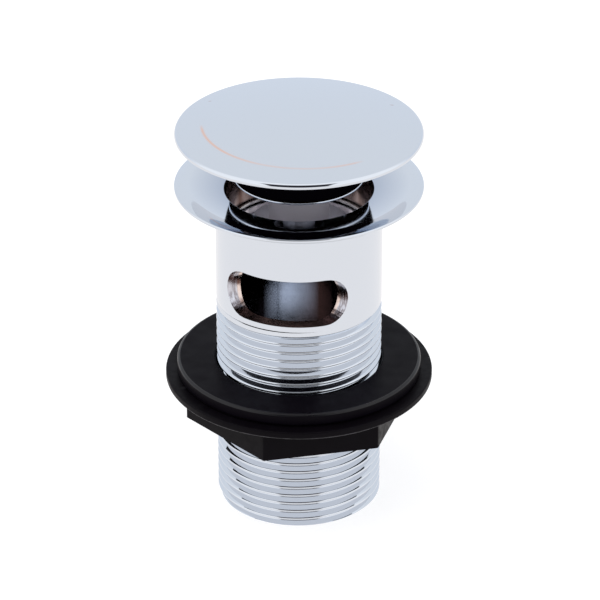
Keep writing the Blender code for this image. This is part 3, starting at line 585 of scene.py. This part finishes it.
ceiling = cap_apex - CAP_SKIN
boss_foot = height("plug_lock_nut") + CLEARANCE
hole_top = height("plug_spindle") + CLEARANCE
outline = [(cap_radius * i / DOME_STEPS, dome(cap_radius * i / DOME_STEPS)) for i in range(DOME_STEPS + 1)]
outline += [
    (cap_radius, cap_base),
    (SKIRT_RADIUS, cap_base),
    (SKIRT_RADIUS, skirt_foot),
    (SKIRT_RADIUS - SKIRT_WALL, skirt_foot),
    (SKIRT_RADIUS - SKIRT_WALL, ceiling),
    (BOSS_RADIUS, ceiling),
    (BOSS_RADIUS, boss_foot),
    (STUD_HOLE, boss_foot),
    (STUD_HOLE, hole_top),
    (0.0, hole_top),
]
form = bmesh.new()
turn(form, wire(form, outline))
ease(form, cap_radius, dome(cap_radius), 0.8, segments=6)
ease(form, cap_radius, cap_base, 0.3, segments=3)
piece("cap", form, [cap_chrome], "plug", "plug_cap")

# %% [markdown]
# The tail carries a pipe thread with a 55 degree form: round crests, round roots and straight
# flanks. Its outline over the whole length is spun once while it climbs one pitch, so the end of
# the turn meets the start one ridge higher and the points merge into one continuous screw. Two
# cuts level its ends. At the top the ridges fade out, and the tail's end has a chamfer.

# %% The thread's form
PITCH = 2.309
THREAD_DEPTH = 0.640327 * PITCH
THREAD_ROUND = 0.137329 * PITCH
FLANK = math.radians(62.5)   # how far each round runs from its middle to the flank
ROUND_STEPS = 4


def screw_outline(major, bottom, top):
    """Outline of the thread from two pitches below a height to one above another."""
    points = []
    count = math.ceil((top - bottom) / PITCH) + 3
    for ridge in range(count):
        middle = bottom + (ridge - 2) * PITCH
        for step in range(ROUND_STEPS + 1):
            turned = -FLANK + 2 * FLANK * step / ROUND_STEPS
            points.append((major - THREAD_ROUND * (1 - math.cos(turned)),
                           middle + THREAD_ROUND * math.sin(turned)))
        for step in range(ROUND_STEPS + 1):
            turned = -FLANK + 2 * FLANK * step / ROUND_STEPS
            points.append((major - THREAD_DEPTH + THREAD_ROUND * (1 - math.cos(turned)),
                           middle + PITCH / 2 + THREAD_ROUND * math.sin(turned)))
    return points


def level(form, z, above):
    """Cut a form flat at a height and keep the side named."""
    geometry = form.verts[:] + form.edges[:] + form.faces[:]
    bmesh.ops.bisect_plane(form, geom=geometry, dist=0.0005 * MM, plane_co=(0, 0, z * MM),
                           plane_no=(0, 0, 1), clear_inner=above, clear_outer=not above)


def rim(form, z, r=None):
    """Edges of the open rim at a height, and at a radius where one is given."""
    return [edge for edge in form.edges if edge.is_boundary
            and all(abs(v.co.z / MM - z) < 0.01 for v in edge.verts)
            and (r is None or all(abs(reach(v) - r) < 1.8 for v in edge.verts))]


print("thread depth in mm:", round(THREAD_DEPTH, 3))

# %% [markdown]
# The tail's wall has two long slots that let the basin's overflow in. The wall is drawn flat,
# with the angle round the tail as its length, and the two slots are holes in that sheet. It is
# thickened, cut into strips by planes and rolled up, so each strip lies true to the cylinder and
# the slot's ends come out as a cutter leaves them. The slots lean in a little towards the bore.

# %% Tail, throat and flange
TAIL_RADIUS = 41.91 / 2
BORE_RADIUS = 17.6
THREAD_TOP = 57.2
FADE_LENGTH = 3.2            # over which the ridges run out below that
THREAD_START = 0.55          # how far the ridges are raised, so that they meet the slot as pictured
TAIL_CHAMFER = 0.4
FLANGE_THICKNESS = 3.2
TAPER_LENGTH = 6.0           # of the throat's cone, below the flange
SLOT_MIDDLE = 64.35
SLOT_HALF_HEIGHT = 6.35
SLOT_HALF_ANGLE = 46.9
SLOT_DRAFT = 2.4
SLOT_TURN = -11.4            # degrees from the front to the front slot's middle
SLOT_END_STEPS = 14
SLOT_EDGE = 0.22             # width of the slot's broken edges
LEDGE = 72.0
POCKET_RADIUS = 18.2
GROOVE_RADIUS = 18.9
GROOVE = (74.8, 76.2)
THROAT_RADIUS = 18.65
SEAT_RADIUS = 27.5
DISH_SLOPE = math.radians(9.6)     # by which the flange rises from the throat
RIM_SLOPE = math.radians(-18.5)    # by which it falls again at its rim
BEND_RADIUS = 27.0           # where it starts to bend over
BEND_STEPS = 12
RIM_FOOT = 1.1               # from the crest down to the rim's lower edge

flange_radius = radius("waste_body")
flange_top = height("waste_body")
seat_height = flange_top - FLANGE_THICKNESS


def dish(share):
    """A point of the flange's upper face, from where it bends (0) to its rim (1)."""
    bend = flange_radius - BEND_RADIUS
    run = bend * share
    rise = DISH_SLOPE * run + (RIM_SLOPE - DISH_SLOPE) * run ** 2 / (2 * bend)
    crest = bend * DISH_SLOPE ** 2 / (2 * (DISH_SLOPE - RIM_SLOPE))
    return BEND_RADIUS + run, flange_top - crest + rise


throat_edge = dish(0.0)[1] - (BEND_RADIUS - THROAT_RADIUS) * math.tan(DISH_SLOPE)
taper_foot = throat_edge - TAPER_LENGTH
rim_height = dish(1.0)[1]
print("throat's edge and rim at", round(throat_edge, 2), round(rim_height, 2))


def smooth_step(value):
    """A share that leaves nothing and reaches one gently."""
    value = max(0.0, min(1.0, value))
    return value * value * (3 - 2 * value)


def threaded_tail(form):
    """The screw from the tail's end to below the slots, faded above and chamfered below."""
    turn(form, wire(form, screw_outline(TAIL_RADIUS, THREAD_START, THREAD_TOP)), lift=PITCH)
    level(form, 0.0, above=True)
    level(form, THREAD_TOP, above=False)
    for vertex in form.verts:
        r, z = reach(vertex), vertex.co.z / MM
        fade = smooth_step((THREAD_TOP - 0.3 - z) / FADE_LENGTH)
        wanted = TAIL_RADIUS - (TAIL_RADIUS - r) * fade
        wanted = min(wanted, TAIL_RADIUS - TAIL_CHAMFER + z)
        vertex.co.xy *= wanted / r
    stray = []
    for edge in rim(form, THREAD_TOP):
        for vertex in edge.verts:
            turned = math.degrees(math.atan2(vertex.co.y, vertex.co.x)) * STEPS / 360
            if abs(turned - round(turned)) > 0.01 and vertex not in stray:
                stray.append(vertex)
    bmesh.ops.dissolve_verts(form, verts=stray)


def slot_loop(form, middle):
    """A slot's outline on the flat sheet: straight sides and two round ends."""
    run = math.radians(SLOT_HALF_ANGLE) * TAIL_RADIUS - SLOT_HALF_HEIGHT
    points = []
    for side in (1, -1):
        for step in range(SLOT_END_STEPS + 1):
            turned = side * math.pi / 2 - math.pi * step / SLOT_END_STEPS
            x = side * run + SLOT_HALF_HEIGHT * math.cos(turned)
            points.append((middle + x, SLOT_MIDDLE + SLOT_HALF_HEIGHT * math.sin(turned)))
    made = [form.verts.new((x, TAIL_RADIUS, z)) for x, z in points]
    return [form.edges.new((a, b)) for a, b in zip(made, made[1:] + made[:1])]


def slotted_wall():
    """The wall from the thread to the ledge, with both slots, in millimetres."""
    half = math.pi * TAIL_RADIUS
    middles = [math.radians(SLOT_TURN - 90.0) * TAIL_RADIUS, math.radians(SLOT_TURN + 90.0) * TAIL_RADIUS]
    sheet = bmesh.new()
    corners = [sheet.verts.new((x, TAIL_RADIUS, z)) for x, z in
               ((-half, THREAD_TOP), (half, THREAD_TOP), (half, LEDGE), (-half, LEDGE))]
    edges = [sheet.edges.new((a, b)) for a, b in zip(corners, corners[1:] + corners[:1])]
    for middle in middles:
        edges += slot_loop(sheet, middle)
    bmesh.ops.triangle_fill(sheet, use_beauty=True, use_dissolve=False, edges=edges)
    raised = bmesh.ops.extrude_face_region(sheet, geom=sheet.faces[:])["geom"]
    inner = [item for item in raised if isinstance(item, bmesh.types.BMVert)]
    bmesh.ops.translate(sheet, verts=inner, vec=(0, BORE_RADIUS - TAIL_RADIUS, 0))
    for vertex in inner:
        if THREAD_TOP < vertex.co.z < LEDGE:
            middle = min(middles, key=lambda m: abs(vertex.co.x - m))
            vertex.co.x = middle + (vertex.co.x - middle) * (1 - SLOT_DRAFT / SLOT_HALF_ANGLE)
    for step in range(1, STEPS):
        geometry = sheet.verts[:] + sheet.edges[:] + sheet.faces[:]
        bmesh.ops.bisect_plane(sheet, geom=geometry, dist=0.0005, plane_no=(1, 0, 0),
                               plane_co=(-half + 2 * half * step / STEPS, 0, 0))
    ends = [face for face in sheet.faces
            if all(abs(v.co.z - THREAD_TOP) < 0.001 for v in face.verts)
            or all(abs(v.co.z - LEDGE) < 0.001 for v in face.verts)
            or all(abs(abs(v.co.x) - half) < 0.001 for v in face.verts)]
    bmesh.ops.delete(sheet, geom=ends, context="FACES")
    for vertex in sheet.verts:
        turned, r = vertex.co.x / TAIL_RADIUS, vertex.co.y
        vertex.co = (r * math.cos(turned) * MM, r * math.sin(turned) * MM, vertex.co.z * MM)
    bmesh.ops.remove_doubles(sheet, verts=sheet.verts, dist=MERGE * MM)
    return sheet


def draw_out(form, edges, z):
    """Extend an open rim straight up or down to a height."""
    made = bmesh.ops.extrude_edge_only(form, edges=edges)["geom"]
    for vertex in made:
        if isinstance(vertex, bmesh.types.BMVert):
            vertex.co.z = z * MM


def join(form, other):
    """Put another form into this one and merge the points that meet."""
    mesh = bpy.data.meshes.new("joined")
    other.to_mesh(mesh)
    other.free()
    form.from_mesh(mesh)
    bpy.data.meshes.remove(mesh)
    bmesh.ops.remove_doubles(form, verts=form.verts, dist=MERGE * MM)


form = slotted_wall()
print("slotted wall:", len(form.faces), "faces")
draw_out(form, rim(form, LEDGE, TAIL_RADIUS), seat_height)
draw_out(form, rim(form, THREAD_TOP, BORE_RADIUS), 0.0)
screw = bmesh.new()
threaded_tail(screw)
print("thread:", len(screw.faces), "faces")
join(form, screw)
bmesh.ops.bridge_loops(form, edges=rim(form, 0.0))

outline = [
    (BORE_RADIUS, LEDGE),
    (POCKET_RADIUS, LEDGE),
    (POCKET_RADIUS, GROOVE[0]),
    (GROOVE_RADIUS, GROOVE[0]),
    (GROOVE_RADIUS, GROOVE[1]),
    (POCKET_RADIUS, GROOVE[1]),
    (POCKET_RADIUS, taper_foot),
    (THROAT_RADIUS, throat_edge),
] + [dish(step / BEND_STEPS) for step in range(BEND_STEPS + 1)] + [
    (flange_radius, flange_top - RIM_FOOT),
    (SEAT_RADIUS, seat_height),
    (TAIL_RADIUS, seat_height),
]
turn(form, wire(form, outline))
ease(form, THROAT_RADIUS, throat_edge, 0.3)
ease(form, flange_radius, rim_height, 0.2, segments=4)
ease(form, flange_radius, flange_top - RIM_FOOT, 0.15)
ease(form, TAIL_RADIUS, seat_height, 0.6, segments=4)

bmesh.ops.recalc_face_normals(form, faces=form.faces)
form.normal_update()


def in_slot(face):
    """Whether a face is on a slot's wall: it looks neither out nor in, and lies within the wall."""
    middle = face.calc_center_median()
    r = math.hypot(middle.x, middle.y)
    facing = abs(face.normal.x * middle.x + face.normal.y * middle.y) / r
    near = abs(middle.z / MM - SLOT_MIDDLE) < SLOT_HALF_HEIGHT + 0.2
    return near and facing < 0.5 and BORE_RADIUS + 0.2 < r / MM < TAIL_RADIUS - 0.2


BORE, THROAT, MILLED, DISH = 1, 2, 3, 4     # places in the body's list of finishes
slot_edges = [edge for edge in form.edges if len(edge.link_faces) == 2
              and in_slot(edge.link_faces[0]) != in_slot(edge.link_faces[1])]
print("slot edges:", len(slot_edges))
bevel(form, slot_edges, SLOT_EDGE, 2)
for face in form.faces:
    middle = face.calc_center_median()
    r, z = math.hypot(middle.x, middle.y) / MM, middle.z / MM
    if z > throat_edge - 0.1 and THROAT_RADIUS - 0.1 < r < flange_radius - 1 and face.normal.z > 0.5:
        face.material_index = DISH
    if z > throat_edge - 0.2 or r > (TAIL_RADIUS - 0.25 if z > THREAD_TOP else BORE_RADIUS + 0.05):
        continue
    if z > LEDGE - 0.1:
        face.material_index = THROAT
    elif abs(z - SLOT_MIDDLE) < SLOT_HALF_HEIGHT + 0.3 and r > BORE_RADIUS + 0.03:
        face.material_index = MILLED
    else:
        face.material_index = BORE
piece("slotted_body", form, [chrome, bore_metal, throat_metal, milled, shaded_dish_chrome],
      "waste", "waste_body")

# %% [markdown]
# The back nut is moulded in one: a wide flange above a hexagon. A ring of points is raised in
# stages and each point is pushed out to the hexagon's side, so that the corners fall on points.
# The bore has its own thread, cut outwards so that it runs free on the tail's.

# %% Back nut
NUT_STEPS = 180
NUT_FLATS = 51.0
NUT_TURN = -17.5             # degrees from the front to the nearest corner
NUT_FLANGE_THICKNESS = 1.9
NUT_BORE = TAIL_RADIUS + CLEARANCE
NUT_THREAD_SHARE = 0.6       # of the full depth
LEAD_IN = 0.4
NUT_CORNER = 0.3             # by which the hexagon's corners are eased
SCUFF = 0.38                 # width of the scuffed band at the flange's lower edge

nut_base, nut_top = height("backnut", 0), height("backnut")
nut_flange_radius = radius("backnut")
flange_foot = nut_top - NUT_FLANGE_THICKNESS
corner_radius = NUT_FLATS / 2 / math.cos(math.radians(30))


def hexagon_reach(degrees):
    """Distance from the axis to the hexagon's side at an angle from a corner."""
    return NUT_FLATS / 2 / math.cos(math.radians(degrees % 60 - 30))


def stage(form, edges, shape):
    """Raise a ring of edges by one stage. A function of the side's distance places each point."""
    made = bmesh.ops.extrude_edge_only(form, edges=edges)["geom"] if edges else []
    if not edges:
        bmesh.ops.create_circle(form, cap_ends=False, segments=NUT_STEPS, radius=corner_radius * MM)
        made = form.verts[:] + form.edges[:]
    points = [item for item in made if isinstance(item, bmesh.types.BMVert)]
    for vertex in points:
        step = round(math.degrees(math.atan2(vertex.co.y, vertex.co.x)) * NUT_STEPS / 360)
        turned = step * 360 / NUT_STEPS
        r, z = shape(hexagon_reach(turned))
        t = math.radians(turned)
        vertex.co = (r * math.cos(t) * MM, r * math.sin(t) * MM, z * MM)
    return [item for item in made if isinstance(item, bmesh.types.BMEdge)
            and all(v in points for v in item.verts)]


stages = [
    lambda side: (NUT_BORE + LEAD_IN, nut_base),
    lambda side: (side, nut_base),
    lambda side: (side, flange_foot),
    lambda side: (nut_flange_radius, flange_foot),
    lambda side: (nut_flange_radius, nut_top),
    lambda side: (NUT_BORE + LEAD_IN, nut_top),
]
form = bmesh.new()
edges = []
for shape in stages:
    edges = stage(form, edges, shape)
bmesh.ops.rotate(form, verts=form.verts, cent=(0, 0, 0),
                 matrix=Matrix.Rotation(math.radians(NUT_TURN - 90.0), 3, "Z"))
ease(form, nut_flange_radius, nut_top, 0.4)
ease(form, nut_flange_radius, flange_foot, 0.4)
corners = [edge for edge in form.edges
           if all(abs(reach(v) - corner_radius) < 0.01 for v in edge.verts)
           and abs(edge.verts[0].co.z - edge.verts[1].co.z) > MM]
bevel(form, corners, NUT_CORNER, 2)

thread = bmesh.new()
outline = [(NUT_BORE + (r - NUT_BORE) * NUT_THREAD_SHARE, z)
           for r, z in screw_outline(NUT_BORE + THREAD_DEPTH, nut_base, nut_top)]
turn(thread, wire(thread, outline), lift=PITCH)
level(thread, nut_base, above=True)
level(thread, nut_top, above=False)
for vertex in thread.verts:
    r, z = reach(vertex), vertex.co.z / MM
    mouth = NUT_BORE + LEAD_IN - min(z - nut_base, nut_top - z)
    vertex.co.xy *= max(r, mouth) / r
join(form, thread)
bmesh.ops.bridge_loops(form, edges=rim(form, nut_base))
bmesh.ops.bridge_loops(form, edges=rim(form, nut_top))
for face in form.faces:
    middle = face.calc_center_median()
    if middle.xy.length > (nut_flange_radius - SCUFF) * MM and middle.z < (flange_foot + SCUFF) * MM:
        face.material_index = 1
piece("back_nut", form, [nylon, scuffed], "nut", "backnut")

# %% [markdown]
# The washer is a plain flat ring stamped from rubber. The nut squeezes it, which rounds its
# edges a little more than the knife did.

# %% Basin washer
BURNISH = (0.75, 0.6)        # width and height of the burnished band at its upper edge

form = bmesh.new()
washer_base, washer_top = height("basin_washer", 0), height("basin_washer")
washer_radius = radius("basin_washer")
turn(form, wire(form, [(NUT_BORE, washer_top), (washer_radius, washer_top),
                       (washer_radius, washer_base), (NUT_BORE, washer_base)], closed=True))
ease(form, washer_radius, washer_top, 0.8, segments=5)
ease(form, washer_radius, washer_base, 0.5, segments=4)
ease(form, NUT_BORE, washer_top, 0.5, segments=4)
for face in form.faces:
    middle = face.calc_center_median()
    if middle.xy.length > (washer_radius - BURNISH[0]) * MM and middle.z > (washer_top - BURNISH[1]) * MM:
        face.material_index = 1
piece("rubber_washer", form, [rubber, burnished], "washer", "basin_washer")

# %% [markdown]
# The plug's seal is a rubber cone round the skirt, with a lip that spreads over the throat's
# edge. A bright ring is screwed in below it. Only the thin edge of that ring shows, as a bright
# line under the black of the seal.

# %% Seal and its retainer
SEAL_INNER = SKIRT_RADIUS + CLEARANCE
SEAL_FOOT = 16.3
SEAL_WAIST = (18.3, 98.9)
RETAINER_PLATE = 0.55
COLLAR_OUTER = 12.1
COLLAR_INNER = 10.2
COLLAR_STEP = 1.25

seal_base, seal_top = height("plug_seal", 0), height("plug_seal")
lip_radius = radius("plug_seal")
form = bmesh.new()
turn(form, wire(form, [(SEAL_INNER, seal_top), (lip_radius, seal_top), SEAL_WAIST,
                       (SEAL_FOOT, seal_base), (SEAL_INNER, seal_base)], closed=True))
ease(form, lip_radius, seal_top, 0.4)
ease(form, *SEAL_WAIST, 1.0, segments=5)
ease(form, SEAL_FOOT, seal_base, 0.4, segments=4)
piece("seal", form, [dull_rubber], "plug", "plug_seal")

plate_base, collar_top = height("seal_retainer", 0), height("seal_retainer")
form = bmesh.new()
turn(form, wire(form, [
    (COLLAR_INNER, collar_top),
    (COLLAR_OUTER, collar_top),
    (COLLAR_OUTER, plate_base + COLLAR_STEP),
    (SKIRT_RADIUS, plate_base + COLLAR_STEP),
    (SKIRT_RADIUS, plate_base + RETAINER_PLATE),
    (SEAL_FOOT, plate_base + RETAINER_PLATE),
    (SEAL_FOOT, plate_base),
    (COLLAR_INNER, plate_base),
], closed=True))
ease(form, SEAL_FOOT, plate_base + RETAINER_PLATE, 0.15)
ease(form, SEAL_FOOT, plate_base, 0.2)
ease(form, COLLAR_INNER, plate_base, 0.4)
# the ring's downward faces take the painted shade under the plug
for face in form.faces:
    if abs(face.normal.z) > 0.9 and face.calc_center_median().z < plate_base + 0.05:
        face.material_index = 1
piece("seal_retainer_ring", form, [chrome, shade_under_plug], "plug", "seal_retainer")

# %% [markdown]
# The click mechanism stands in the throat. Its barrel has a flange that rests on the bridge and
# a neck round the spring. Both are turned steel parts with plain outlines.

# %% Barrel
BARREL_BORE = 6.5
BARREL_RADIUS = 7.6
BARREL_FLANGE_FOOT = 74.9
BARREL_FLANGE_TOP = 76.9
CIRCLIP_GROOVE = (69.1, 70.6)
CIRCLIP_CORE = 7.0
BUSH_HOLE = 5.0
CHAMBER_RADIUS = 5.8
CHAMBER = (70.4, 74.6)

barrel_base, barrel_top = height("clicker_barrel", 0), height("clicker_barrel")
barrel_flange = radius("clicker_barrel")
form = bmesh.new()
turn(form, wire(form, [
    (BARREL_BORE, barrel_top),
    (BARREL_RADIUS, barrel_top),
    (BARREL_RADIUS, BARREL_FLANGE_TOP),
    (barrel_flange, BARREL_FLANGE_TOP),
    (barrel_flange, BARREL_FLANGE_FOOT),
    (BARREL_RADIUS, BARREL_FLANGE_FOOT),
    (BARREL_RADIUS, CIRCLIP_GROOVE[1]),
    (CIRCLIP_CORE, CIRCLIP_GROOVE[1]),
    (CIRCLIP_CORE, CIRCLIP_GROOVE[0]),
    (BARREL_RADIUS, CIRCLIP_GROOVE[0]),
    (BARREL_RADIUS, barrel_base),
    (BUSH_HOLE, barrel_base),
    (BUSH_HOLE, CHAMBER[0]),
    (CHAMBER_RADIUS, CHAMBER[0]),
    (CHAMBER_RADIUS, CHAMBER[1]),
    (BARREL_BORE, CHAMBER[1]),
], closed=True), steps=SMALL_STEPS)
ease(form, BARREL_BORE, barrel_top, 0.3)
ease(form, BARREL_RADIUS, barrel_top, 0.3)
ease(form, BARREL_RADIUS, BARREL_FLANGE_TOP, 0.3)
ease(form, barrel_flange, BARREL_FLANGE_TOP, 0.4)
ease(form, barrel_flange, BARREL_FLANGE_FOOT, 0.3)
ease(form, BARREL_RADIUS, barrel_base, 0.5)
piece("barrel", form, [satin], "waste", "clicker_barrel")

# %% [markdown]
# The small pieces that hardly show keep their CAD solids and only take a finish.

# %% Finishes of the small pieces
kept = {
    "mechanism_bridge": plated_steel,
    "bridge_snap_ring": spring_wire,
    "hub_washer": rubber,
    "barrel_circlip": spring_wire,
    "guide_bush": acetal,
    "cam_washer": spring_wire,
    "cam_ring": acetal,
    "spring_seat": spring_wire,
    "return_spring": spring_wire,
    "plug_spindle": plated_steel,
    "spring_top_washer": spring_wire,
    "plug_lock_nut": plated_steel,
    "stop_washer": rubber,
    "stop_clip": spring_wire,
}
for name, material in kept.items():
    mesh = nodes[name].data
    mesh.materials.clear()
    mesh.materials.append(material)
print("kept CAD pieces:", len(kept))
